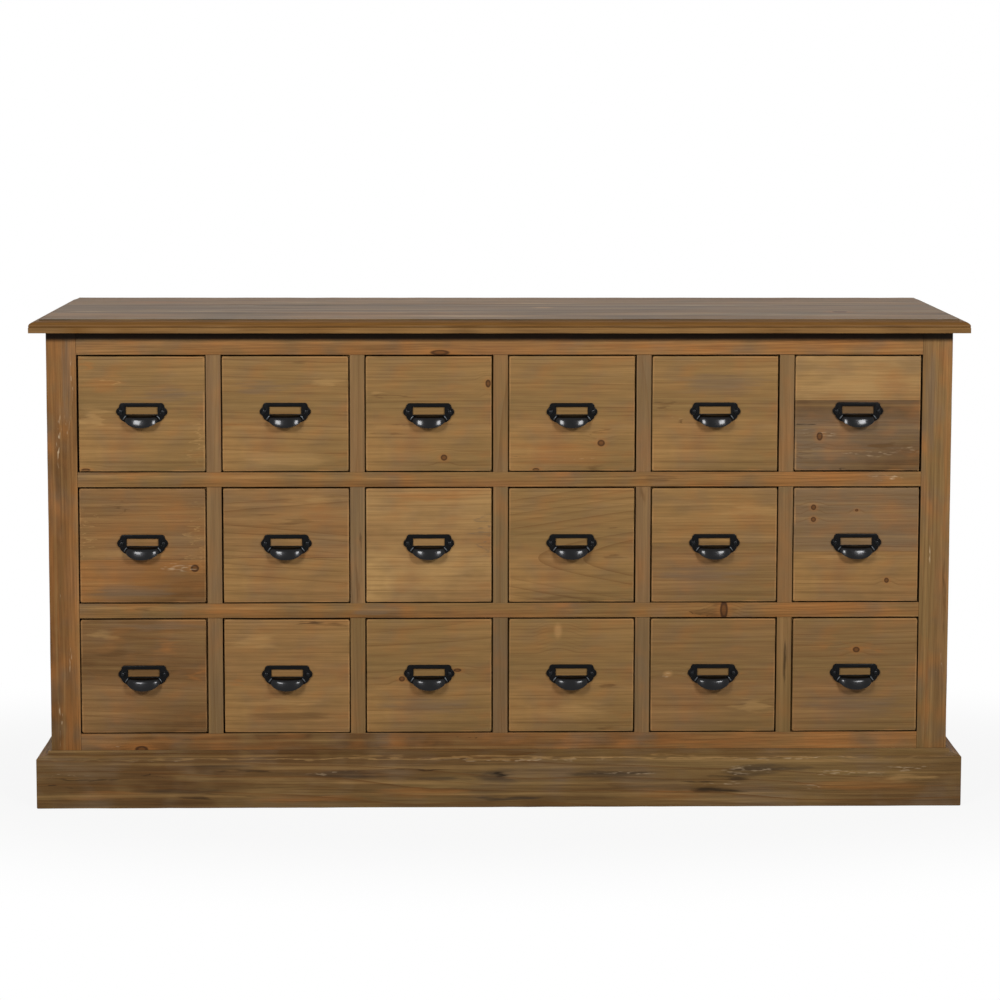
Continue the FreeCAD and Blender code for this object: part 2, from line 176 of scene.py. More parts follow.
def pine(name, light, dark, grain=(0.0, 0.0, 0.0), centre=(0.0, 0.0, 0.0), pith=(60.0, 260.0), ring=8.0,
         taper=0.02, bend=14.0, seams=(), spots=(), rim=None, bands=(), board_tint=0.0, contrast=1.0,
         tints=field_tints, roughness=0.56):
    # Old pine: a honey brown with dark hard rings, knots and stains, dull but for a little wax. X of the
    # pattern runs with the grain, Y into the board and Z across its face, all in millimetres
    material = bpy.data.materials.new(name)
    material.use_nodes = True
    tree = material.node_tree
    tree.nodes.clear()
    coordinates = add(tree, "TexCoord").node.outputs["Object"]
    face = add(tree, "Mapping", {"Vector": coordinates, "Location": centre, "Rotation": grain,
                                 "Scale": (mm, mm, mm)}, vector_type="TEXTURE")
    number = add(tree, "Attribute", attribute_name="board").node.outputs["Fac"]
    shift = add(tree, "VectorMath", {0: board_jump, "Scale": number}, operation="SCALE")
    wood = add(tree, "VectorMath", {0: face, 1: shift})
    face_axes = add(tree, "SeparateXYZ", {"Vector": face}).node.outputs
    above = []
    for seam, other_tone in seams:
        side = add(tree, "Math", {0: face_axes["Z"], 1: seam}, operation="GREATER_THAN")
        above.append((seam, other_tone, side))
        jump = add(tree, "VectorMath", {0: seam_jump, "Scale": side}, operation="SCALE")
        wood = add(tree, "VectorMath", {0: wood, 1: jump})
    fields = {}
    for label, size, detail in wood_fields:
        stretched = add(tree, "VectorMath", {0: wood, 1: tuple(1 / s for s in size)}, operation="MULTIPLY")
        fields[label] = add(tree, "TexNoise", {"Vector": stretched, "Scale": 1.0, "Detail": detail})

    # Growth rings round the pith, bent by the field and pushed aside by the knots
    spoke = add(tree, "VectorMath", {0: wood, 1: (0.0, 1.0, 1.0)}, operation="MULTIPLY")
    spoke = add(tree, "VectorMath", {0: spoke, 1: (0.0, *pith)}, operation="SUBTRACT")
    reach = add(tree, "VectorMath", {0: spoke}, operation="LENGTH")
    along = add(tree, "SeparateXYZ", {"Vector": wood})
    reach = add(tree, "Math", {0: along, 1: taper, 2: reach}, operation="MULTIPLY_ADD")
    reach = add(tree, "Math", {0: fields["bend"], 1: bend, 2: reach}, operation="MULTIPLY_ADD")
    for kind, u, v, width, high in spots:
        push = marks[kind][2]
        if push:
            swell = patch(tree, face, (u, v), (width * swell_wide, high * swell_high))
            reach = add(tree, "Math", {0: swell, 1: push, 2: reach}, operation="MULTIPLY_ADD")
    turn = add(tree, "Math", {0: reach, 1: ring}, operation="DIVIDE")
    part = add(tree, "Math", {0: turn}, operation="FRACT")
    late = add(tree, "Math", {0: part, 1: ring_sharpness}, operation="POWER")
    count = add(tree, "Math", {0: turn}, operation="FLOOR")
    weight = add(tree, "TexWhiteNoise", {"W": count}, noise_dimensions="1D").node.outputs["Value"]
    late = add(tree, "Math", {0: late, 1: weight}, operation="MULTIPLY")

    # Colour, in layers of mask, strength and tone: the broad tone, stain, growth bands and hard rings, then
    # knots, marks, seams and bands of wear, dirt, painted shade and painted highlight
    tear = add(tree, "VectorMath", {0: wood, 1: tuple(1 / s for s in tear_size)}, operation="MULTIPLY")
    tear = add(tree, "TexNoise", {"Vector": tear, "Scale": 1.0, "Detail": 3.0}).node.outputs["Color"]
    tear = add(tree, "VectorMath", {0: tear, 1: (0.5, 0.5, 0.5)}, operation="SUBTRACT")
    torn = add(tree, "VectorMath", {0: tear, 1: tear_reach, 2: face}, operation="MULTIPLY_ADD")
    broad = add(tree, "MapRange", {"Value": fields["tone"], "From Min": 0.35, "From Max": 0.65})
    layers = [(broad, 1.0, light)]
    for seam, other_tone, side in above:
        layers.append((side, seam_tone_share, other_tone))
    if board_tint:
        tint = add(tree, "TexWhiteNoise", {"W": number}, noise_dimensions="1D").node.outputs["Value"]
        layers.append((tint, board_tint, "grey"))
    for field, low, high, most, tone in tints:
        share = add(tree, "MapRange", {"Value": fields[field], "From Min": low, "From Max": high})
        layers.append((share, most * contrast, tone))
    layers.append((late, ring_share * contrast, "latewood"))
    ragged = add(tree, "MapRange", {"Value": fields["band"], "From Min": 0.32, "From Max": 0.58,
                                    "To Min": 0.35, "To Max": 1.0})
    patchy = add(tree, "MapRange", {"Value": fields["blotch"], "From Min": 0.38, "From Max": 0.6})
    flecks = add(tree, "MapRange", {"Value": fields["fleck"], "From Min": 0.52, "From Max": 0.66})
    for kind, u, v, width, high in spots:
        tone, strength, push = marks[kind]
        if tone == "walnut_and_shade":
            halo = patch(tree, face, (u, v), (width * halo_wide, high * halo_high))
            knot = patch(tree, face, (u, v), (width, high), knot_core)
            heart = patch(tree, face, (u, v), (width * heart_size, high * heart_size), heart_core)
            layers += [(halo, halo_share, "russet"), (knot, strength, tone), (heart, heart_share, "russet")]
            continue
        share = patch(tree, face if push else torn, (u, v), (width, high))
        if not push:
            broken = flecks if kind in speckled_marks else ragged
            share = add(tree, "Math", {0: share, 1: broken}, operation="MULTIPLY")
        layers.append((share, strength, tone))
    for seam, other_tone, side in above:
        gap = add(tree, "Math", {0: face_axes["Z"], 1: seam, 2: seam_half_width}, operation="COMPARE")
        layers.append((gap, seam_share, "walnut_and_shade"))
    ends = add(tree, "Math", {0: face_axes["X"]}, operation="ABSOLUTE")
    measures = {"depth": face_axes["Y"], "across": face_axes["Z"], "ends": ends}
    if rim:
        # How far outside the board's outline, so a negative number on its face
        half_width, lowest, highest = rim
        off = add(tree, "Math", {0: ends, 1: half_width}, operation="SUBTRACT")
        under = add(tree, "Math", {0: lowest, 1: face_axes["Z"]}, operation="SUBTRACT")
        over = add(tree, "Math", {0: face_axes["Z"], 1: highest}, operation="SUBTRACT")
        off = add(tree, "Math", {0: off, 1: under}, operation="MAXIMUM")
        measures["rim"] = add(tree, "Math", {0: off, 1: over}, operation="MAXIMUM")
    for measure, start, end, soft, tone, strength in bands:
        rise = add(tree, "MapRange", {"Value": measures[measure], "From Min": start,
                                      "From Max": start + soft})
        fall = add(tree, "MapRange", {"Value": measures[measure], "From Min": end, "From Max": end - soft})
        share = add(tree, "Math", {0: rise, 1: fall}, operation="MULTIPLY")
        if tone == "fresh":
            share = add(tree, "Math", {0: share, 1: patchy}, operation="MULTIPLY")
        layers.append((share, strength, tone))
    colour = linear(wood_tones[dark])
    for share, strength, tone in layers:
        share = add(tree, "Math", {0: share, 1: strength}, operation="MULTIPLY")
        colour = add(tree, "Mix", {"Factor": share, "A": colour, "B": linear(wood_tones[tone])},
                     data_type="RGBA")
    fibre_spread = fibre_share * contrast
    shade = add(tree, "MapRange", {"Value": fields["fibre"], "From Min": 0.25, "From Max": 0.75,
                                   "To Min": 1 - fibre_spread, "To Max": 1 + fibre_spread})
    colour = add(tree, "Mix", {"Factor": 1.0, "A": colour, "B": shade}, data_type="RGBA",
                 blend_type="MULTIPLY")

    # Brushed relief: the hard rings stand a little proud of the soft wood
    relief = add(tree, "Math", {0: late, 1: ring_relief, 2: fields["fibre"]}, operation="MULTIPLY_ADD")
    relief = add(tree, "Math", {0: fields["band"], 1: band_relief, 2: relief}, operation="MULTIPLY_ADD")
    normal = add(tree, "Bump", {"Height": relief, "Strength": 0.7, "Distance": 0.3 * mm})
    rough = add(tree, "MapRange", {"Value": fields["band"], "From Min": 0.3, "From Max": 0.7,
                                   "To Min": roughness - roughness_spread,
                                   "To Max": roughness + roughness_spread})
    shader = add(tree, "BsdfPrincipled", {"Base Color": colour, "Roughness": rough, "IOR": 1.48,
                                          "Specular IOR Level": wax_sheen, "Normal": normal})
    surface = tree.nodes.new("ShaderNodeOutputMaterial")
    tree.links.new(shader, surface.inputs["Surface"])
    return material


same_plane = 1e-7


def cut(shape, point, normal, **settings):
    # Cuts the whole shape by a plane, and gives what lies in the cut
    everything = shape.verts[:] + shape.edges[:] + shape.faces[:]
    return bmesh.ops.bisect_plane(shape, geom=everything, plane_co=point, plane_no=normal,
                                  **settings)["geom_cut"]


def eased(shape, edges, offset, **settings):
    # Rounds the edges over by that much
    bmesh.ops.bevel(shape, geom=edges, offset=offset, offset_type="OFFSET", segments=3, profile=0.5,
                    affect="EDGES", material=-1, **settings)


def moved(shape, vec):
    bmesh.ops.translate(shape, verts=shape.verts[:], vec=vec)


def turned(shape, angle, axis, centre=(0, 0, 0)):
    bmesh.ops.rotate(shape, verts=shape.verts[:], cent=centre, matrix=Matrix.Rotation(angle, 3, axis))


def sliced(shape, axis, step):
    # Cuts the shape across one axis so that its long edges can wander
    low = min(v.co[axis] for v in shape.verts)
    high = max(v.co[axis] for v in shape.verts)
    count = int((high - low) / step)
    normal = Vector([float(index == axis) for index in range(3)])
    for index in range(1, count):
        cut(shape, normal * (low + (high - low) * index / count), normal, dist=same_plane)


def worn(shape, depth, seed, length=60 * mm):
    # Rubs every point inwards by up to that depth, unevenly along the board
    shape.normal_update()
    moves = []
    for vertex in shape.verts:
        value = noise.noise(vertex.co / length + Vector((seed, seed * 1.7, 0)))
        moves.append(max(0.0, 0.5 + value) * depth)
    for vertex, move in zip(shape.verts, moves):
        vertex.co -= vertex.normal * move


def finished(name, shapes, material, body, slot, *nodes, smooth_angle=35.0):
    # Joins the boards of one piece, numbers them for the material, and fixes the piece to its body
    whole = bmesh.new()
    for index, shape in enumerate(shapes):
        number = shape.verts.layers.float.new("board")
        for vertex in shape.verts:
            vertex[number] = index
        bmesh.ops.recalc_face_normals(shape, faces=shape.faces[:])
        loose = bpy.data.meshes.new("loose")
        shape.to_mesh(loose)
        shape.free()
        whole.from_mesh(loose)
        bpy.data.meshes.remove(loose)
    mesh = bpy.data.meshes.new(name)
    whole.to_mesh(mesh)
    whole.free()
    mesh.shade_smooth()
    mesh.set_sharp_from_angle(angle=math.radians(smooth_angle))
    mesh.materials.append(material)
    piece = bpy.data.objects.new(name, mesh)
    bpy.context.scene.collection.objects.link(piece)
    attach(piece, body)
    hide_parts(*nodes)


top_low, top_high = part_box("top_board")
ovolo_springing = 13.0
ovolo_width = 18.0
ovolo_rise = 10.5
ovolo_steps = 7
groove = 1.0
groove_lip = 0.3
under_arris = 0.6
top_arris = 0.7
# How far in the vertical quirk above the ovolo and the edge of the flat stand
quirk_draw_in = ovolo_width + 0.1
flat_draw_in = ovolo_width + 0.9
# Level above the underside and draw-in of each line of the moulding, from the underside up
top_lines = [(0.0, under_arris), (under_arris, 0.0), (ovolo_springing - 2 * groove, 0.0),
             (ovolo_springing - groove, groove), (ovolo_springing, groove_lip)]
for step in range(1, ovolo_steps + 1):
    angle = math.pi / 2 * step / ovolo_steps
    top_lines.append((ovolo_springing + ovolo_rise * math.sin(angle), ovolo_width * (1 - math.cos(angle))))
top_thickness = (top_high.z - top_low.z) / mm
top_lines += [(top_thickness - top_arris, quirk_draw_in), (top_thickness, flat_draw_in)]

top_shape = bmesh.new()
outline = ((top_low.x, top_low.y), (top_high.x, top_low.y), (top_high.x, top_high.y), (top_low.x, top_high.y))
corners = [top_shape.verts.new((x, y, top_low.z)) for x, y in outline]
cap = top_shape.faces.new(corners)
for level, draw_in in top_lines:
    if level:
        risen = bmesh.ops.extrude_face_region(top_shape, geom=[cap])["geom"]
        old_cap = cap
        cap = next(g for g in risen if isinstance(g, bmesh.types.BMFace))
        # The first cap stays, as the underside
        if old_cap.is_valid and level > under_arris:
            top_shape.faces.remove(old_cap)
    for vertex in cap.verts:
        vertex.co.x = math.copysign(top_high.x - draw_in * mm, vertex.co.x)
        if vertex.co.y < 0:
            vertex.co.y = top_low.y + draw_in * mm
        vertex.co.z = top_low.z + level * mm
bmesh.ops.recalc_face_normals(top_shape, faces=top_shape.faces[:])
sliced(top_shape, axis_x, step=45 * mm)
worn(top_shape, depth=0.5 * mm, seed=3.1)
springing_depth = top_thickness - ovolo_springing
# The ovolo is tinted a darker ochre and the band under it sepia, and painted shade darkens its quirk and
# groove: what is measured, from, to, softness, tone and strength
top_bands = (("rim", -quirk_draw_in, 0.0, 0.6, "ochre", 0.9),
             ("rim", -0.6, 1.0, 0.5, "sepia", 0.85),
             ("rim", -quirk_draw_in - 1.6, -quirk_draw_in + 1.2, 0.5, "soot_and_shade", 0.3),
             ("depth", springing_depth - 0.8, springing_depth + 2.4, 0.6, "soot_and_shade", 0.25))
# The top has no rim at its back, so that edge is drawn far behind it
no_back_rim = 10 * top_high.y / mm
# Kind, place along and across the boards, length and width of each mark
top_spots = (
    ("black", -435, 58, 330, 22), ("light_knot", 88, 16, 60, 40), ("black", 295, -27, 330, 18),
    ("knot", 674, -69, 34, 30), ("streak", -790, -62, 240, 14), ("streak", -600, -58, 420, 9),
    ("streak", -500, 50, 320, 11), ("streak", -430, 128, 260, 14), ("black", -196, 59, 150, 14),
    ("streak", -70, -150, 420, 34), ("dark", -480, 5, 340, 34), ("dark", 640, 60, 320, 30),
    ("dark", -120, -110, 500, 26), ("orange", -700, 120, 200, 80), ("dark", 380, 130, 400, 30),
    ("dark", -760, -150, 260, 40), ("streak", 420, 60, 380, 12), ("streak", 600, -130, 400, 20),
    ("dark", 160, -80, 420, 24), ("streak", 60, 100, 300, 16),
)
top_pine = pine("old_pine_top", "tan", "slate", grain=(-math.pi / 2, 0.0, 0.0), centre=(0.0, 0.0, top_high.z),
                pith=(95.0, 320.0), ring=11.0, taper=0.03, bend=40.0, seams=((-72.0, "grey"), (76.0, "tan")),
                contrast=1.7, tints=quiet_tints, roughness=0.5, bands=top_bands, spots=top_spots,
                rim=(top_high.x / mm, top_low.y / mm, no_back_rim))
finished("moulded_top", [top_shape], top_pine, "carcass", "pine_top", "top_board")

# Face frame: two stiles, four rails and fifteen short muntins of the same pine, planed, brushed and glued
# flush, with their arrises rubbed round. The grain runs along each board.
upright = (0.0, -math.pi / 2, 0.0)
rail_order = ("bottom_rail", "lower_rail", "upper_rail", "top_rail")
row_names = ("bottom", "middle", "top")
columns = 6


def board(low, high, along, ease, seed=0.0, wear=0.35 * mm, step=30 * mm):
    # A plain board whose long edges are eased, and worn unless wear is 0
    shape = bmesh.new()
    size = high - low
    place = Matrix.Translation((low + high) / 2) @ Matrix.Diagonal((*size, 1.0))
    bmesh.ops.create_cube(shape, size=1.0, matrix=place)
    long_edges = [e for e in shape.edges if abs((e.verts[0].co - e.verts[1].co)[along]) > size[along] / 2]
    eased(shape, long_edges, ease)
    if step:
        sliced(shape, along, step)
    if wear:
        worn(shape, wear, seed)
    return shape


def face_middle(low, high):
    return ((low.x + high.x) / 2, low.y, (low.z + high.z) / 2)


# Old wax and dust, with painted shade, blacken the faces inside the gaps, and a painted shadow darkens the
# head of the frame under the top's overhang
frame_ease = 1.4 * mm
gap_dirt_and_shade_share = 0.92
gap_dirt_and_shade = (("depth", 1.6, 32.0, 1.4, "soot_and_shade", gap_dirt_and_shade_share),)
gap_face = 0.7
past_face = 1.0
head_shadow_tall = 21.0
head_shadow_soft = 8.0
head_shadow_share = 0.95
stile_spots = {
    "left_stile": (
        ("grey", 390, -12, 220, 34), ("orange", -60, 20, 620, 26), ("dark", 300, -24, 160, 12),
        ("pale", 350, -20, 150, 6), ("pale", 256, 8, 130, 12), ("pale", 280, -12, 60, 7),
        ("pale", -172, -9, 80, 6), ("pale", -308, 11, 90, 6), ("pale", -56, 5, 36, 6),
        ("orange", -330, -6, 300, 24)),
    "right_stile": (
        ("grey", 330, 12, 260, 30), ("orange", -260, 12, 260, 18), ("orange", 240, -20, 500, 16),
        ("dark", -60, -20, 200, 9), ("pale", 30, 10, 70, 6), ("pale", -200, -16, 60, 5)),
}
for number, name in enumerate(("left_stile", "right_stile")):
    low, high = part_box(name)
    # Only the face towards the drawers is in a gap: it is below the middle of the left stile's pattern, and
    # above the middle of the right stile's
    half_wide, half_tall = (high.x - low.x) / 2 / mm, (high.z - low.z) / 2 / mm
    inner = ((-half_wide - past_face, -half_wide + gap_face), (half_wide - gap_face, half_wide + past_face))
    # The stile's edge by the drawers gets the gaps' band of dirt and painted shade, and its head a painted
    # shadow under the top's overhang
    stile_bands = (("across", *inner[number], 0.4, "soot_and_shade", gap_dirt_and_shade_share),
                   ("ends", half_tall - head_shadow_tall, half_tall + head_shadow_soft, head_shadow_soft, "soot_and_shade",
                    head_shadow_share))
    light, dark = (("amber", "umber"), ("tan", "olive"))[number]
    stile_pine = pine("old_pine_" + name, light, dark, grain=upright, centre=face_middle(low, high),
                      pith=(40.0, 200.0 - 400.0 * number), ring=7.0, spots=stile_spots[name],
                      bands=stile_bands, contrast=1.3)
    stile = board(low, high, axis_z, frame_ease, seed=5.0 + number)
    finished(name + "_board", [stile], stile_pine, "carcass", "pine_frame", name)

rail_looks = {
    "bottom_rail": ("amber", "umber", (
        ("knot", -698, 14, 30, 16), ("pale", -744, 18, 50, 5), ("orange", 380, 26, 300, 16),
        ("black", -60, 34, 8, 6))),
    "lower_rail": ("amber", "olive", (
        ("dark", 420, 0, 60, 70), ("black", 400, -4, 9, 34), ("knot", 435, 0, 18, 44),
        ("orange", -549, 0, 260, 20), ("dark", -678, 2, 50, 8), ("orange", 560, 4, 260, 12),
        ("grey", -250, 0, 90, 24))),
    "upper_rail": ("amber", "olive", (
        ("dark", 298, 0, 90, 24), ("chip", 743, 2, 70, 18))),
    "top_rail": ("amber", "tan", (
        ("red_knot", -117, -18, 44, 12), ("dark", -500, 18, 300, 10), ("orange", 300, -6, 420, 22))),
}
for number, name in enumerate(rail_order):
    low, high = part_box(name)
    light, dark, spots = rail_looks[name]
    rail_bands = gap_dirt_and_shade
    # The top rail's head gets a painted shadow under the top's overhang
    if name == "top_rail":
        half_tall = (high.z - low.z) / 2 / mm
        rail_bands += (("across", half_tall - head_shadow_tall, half_tall + head_shadow_soft, head_shadow_soft,
                        "soot_and_shade", head_shadow_share),)
    rail_pine = pine("old_pine_" + name, light, dark, centre=face_middle(low, high), ring=6.5,
                     pith=(35.0 + 12.0 * number, 180.0), spots=spots, bands=rail_bands, contrast=1.4)
    rail = board(low, high, axis_x, frame_ease, seed=9.0 + number)
    finished(name + "_board", [rail], rail_pine, "carcass", "pine_frame", name)

side_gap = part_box("bottom_drawer_1")[0].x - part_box("left_stile")[1].x
frame_low, frame_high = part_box("muntins")
# Each muntin stands a hair behind the rails, so that the joints show
muntin_set_backs = (0.1 * mm, 0.25 * mm)
muntin_shapes = []
for row in range(len(row_names)):
    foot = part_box(rail_order[row])[1].z
    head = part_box(rail_order[row + 1])[0].z
    for column in range(1, columns):
        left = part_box(f"{row_names[row]}_drawer_{column}")[1].x + side_gap
        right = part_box(f"{row_names[row]}_drawer_{column + 1}")[0].x - side_gap
        low = Vector((left, frame_low.y + muntin_set_backs[column % 2], foot))
        high = Vector((right, frame_high.y, head))
        muntin_shapes.append(board(low, high, axis_z, frame_ease, seed=13.0 + row * columns + column))
muntin_spots = (
    ("dark", 433, 275, 60, 16), ("black", 515, 271, 24, 6), ("dark", 618, -275, 60, 18),
    ("black", 283, -556, 80, 14),
)
muntin_pine = pine("old_pine_muntins", "tan", "olive", grain=upright, centre=(0.0, frame_low.y, 0.0),
                   pith=(45.0, 900.0), ring=6.5, board_tint=0.6, bands=gap_dirt_and_shade, contrast=0.8,
                   spots=muntin_spots)
finished("muntin_boards", muntin_shapes, muntin_pine, "carcass", "pine_frame", "muntins")

# Plinth: a board across the front, mitred to a board along each side. The top edge is worked to a shallow
# fillet and a rounded slope, and the feet are scuffed from the floor.
plinth_low, plinth_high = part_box("front_plinth")
plinth_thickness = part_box("left_stile")[0].x - plinth_low.x
case_front = plinth_low.y + plinth_thickness
plinth_out = plinth_thickness / mm
plinth_tall = plinth_high.z / mm
plinth_slope = 11.0
# Distance out from the case and height, in millimetres, of the section's corners
plinth_section = ((0.0, 0.0), (plinth_out - 2.5, 0.0), (plinth_out - 0.7, 0.8), (plinth_out, 3.0),
                  (plinth_out, plinth_tall - plinth_slope),
                  (plinth_out - 1.6, plinth_tall - plinth_slope + 1.8),
                  (plinth_out - 7.0, plinth_tall - 8.2), (plinth_out - 13.0, plinth_tall - 6.6),
                  (6.0, plinth_tall - 5.4), (6.0, plinth_tall - 0.8), (5.2, plinth_tall), (0.0, plinth_tall))


def plinth_board(start, end, mitres, seed):
    # A run along X with its outer face to -Y, cut at 45 degrees at the ends named in mitres
    shape = bmesh.new()
    points = [shape.verts.new((start, -out * mm, up * mm)) for out, up in plinth_section]
    section = shape.faces.new(points)
    run = bmesh.ops.extrude_face_region(shape, geom=[section])["geom"]
    bmesh.ops.translate(shape, verts=[g for g in run if isinstance(g, bmesh.types.BMVert)],
                        vec=(end - start, 0, 0))
    bmesh.ops.recalc_face_normals(shape, faces=shape.faces[:])
    for at, sign in mitres:
        mitre = cut(shape, (at, 0, 0), (sign, 1, 0), clear_outer=True)
        bmesh.ops.holes_fill(shape, edges=[g for g in mitre if isinstance(g, bmesh.types.BMEdge)])
    sliced(shape, axis_x, step=36 * mm)
    worn(shape, depth=0.5 * mm, seed=seed, length=45 * mm)
    return shape


both_mitres = ((plinth_low.x + plinth_thickness, -1), (plinth_high.x - plinth_thickness, 1))
front_run = plinth_board(plinth_low.x, plinth_high.x, both_mitres, seed=21.0)
moved(front_run, (0, case_front, 0))
front_plinth_spots = (
    ("slate", -545, 26, 190, 20), ("black", -480, 20, 150, 5), ("black", -800, 2, 200, 4),
    ("black", -866, -10, 50, 5), ("chip", -822, 12, 90, 9), ("black", -678, 12, 6, 12),
    ("slate", -610, -22, 260, 20), ("black", -560, -30, 150, 8), ("dark", -400, 0, 260, 12),
    ("slate", -300, 12, 170, 22), ("chip", -322, 16, 90, 8), ("black", -200, 24, 300, 4),
    ("slate", -120, 2, 120, 18), ("slate", -10, 8, 120, 40), ("black", 0, 12, 50, 16),
    ("dark", -90, -18, 240, 10), ("slate", 20, -36, 150, 16), ("slate", 205, 12, 190, 26),
    ("chip", 232, 14, 130, 12), ("dark", 240, -12, 90, 12), ("slate", 505, 20, 200, 34),
    ("black", 455, 2, 90, 20), ("black", 420, -22, 120, 20), ("chip", 480, 18, 170, 18),
    ("chip", 430, -8, 110, 6), ("black", 370, -6, 60, 5), ("chip", 660, 14, 200, 14),
    ("chip", 800, 22, 150, 12), ("chip", 610, -16, 70, 8), ("light", 777, 2, 130, 26),
    ("orange", -380, -36, 300, 18), ("orange", -150, -24, 260, 22), ("orange", 330, -30, 260, 26),
    ("orange", 700, -12, 320, 34), ("orange", -760, -28, 220, 22), ("chip", -640, 40, 260, 5),
    # The last mark, a light line along the arris under the slope, is a painted highlight
    ("chip", 60, 41, 500, 5), ("chip", 560, 41, 400, 5), ("light", 0, 43, 2400, 4),
)
front_plinth_pine = pine(
    "old_pine_plinth_front", "olive", "umber", centre=(0.0, case_front, plinth_high.z / 2),
    pith=(70.0, -90.0), ring=9.0, bend=40.0, contrast=1.5, tints=quiet_tints, spots=front_plinth_spots)
finished("front_plinth_board", [front_run], front_plinth_pine, "carcass", "pine_plinth", "front_plinth")
side_run_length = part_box("left_plinth")[1].y - plinth_low.y
for side, name in ((-1, "left_plinth"), (1, "right_plinth")):
    # The run starts at the mitre, and is turned so that its outer face looks sideways
    run = plinth_board(-plinth_thickness, side_run_length - plinth_thickness, ((0.0, -1),), seed=23.0 + side)
    if side < 0:
        bmesh.ops.scale(run, verts=run.verts[:], vec=(-1, 1, 1))
    turned(run, side * math.pi / 2, "Z")
    case_side = side * (plinth_high.x - plinth_thickness)
    moved(run, (case_side, case_front, 0))
    # The light line along the arris under the slope is a painted highlight
    side_pine = pine("old_pine_" + name, "olive", "umber", grain=(0.0, 0.0, math.pi / 2),
                     centre=(case_side, 0.0, plinth_high.z / 2), pith=(60.0, -90.0), ring=9.0, contrast=1.4,
                     spots=(("dark", 40.0, -30.0, 260.0, 22.0), ("light", 0.0, 43.0, 900.0, 5.0)))
    finished(name + "_board", [run], side_pine, "carcass", "pine_plinth", name)

# Case: side panels glued from three boards each, and behind them the rough-planed pine that carries the
# drawers: runners, guides, kickers, rails, stops, bearers, glue blocks, the bottom and the back boards.
for side, name in ((-1, "left_side"), (1, "right_side")):
    low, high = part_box(name)
    outer_face = high.x if side > 0 else low.x
    side_pine = pine("old_pine_" + name, "amber", "tan", grain=(math.pi / 2, -math.pi / 2, 0.0),
                     centre=(outer_face, 0.0, (low.z + high.z) / 2), pith=(80.0, 40.0), ring=8.0, bend=30.0,
                     seams=((-66.0, "olive"), (74.0, "tan")), contrast=1.2,
                     spots=(("knot", 120.0, -20.0, 20.0, 16.0), ("knot", -210.0, 90.0, 16.0, 13.0),
                            ("orange", -60.0, 30.0, 260.0, 60.0), ("dark", 280.0, 110.0, 220.0, 30.0),
                            ("light_knot", -20.0, -120.0, 22.0, 18.0)))
    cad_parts[name].data.materials.clear()
    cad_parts[name].data.materials.append(side_pine)
planed_along = {
    "depth": ((0.0, 0.0, math.pi / 2), ("bottom_runners", "middle_runners", "top_runners", "drawer_guides",
                                        "kickers", "bottom_bearers")),
    "width": ((0.0, 0.0, 0.0), ("rear_rails", "bottom_board", "drawer_stops")),
    "height": ((0.0, -math.pi / 2, 0.0), ("back_boards", "glue_blocks")),
}
for direction, (grain, names) in planed_along.items():
    planed = pine("planed_pine_" + direction, "fresh", "straw", grain=grain, pith=(50.0, 90.0), ring=7.0,
                  contrast=0.6, tints=planed_tints, roughness=0.68)
    for name in names:
        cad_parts[name].data.materials.clear()
        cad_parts[name].data.materials.append(planed)

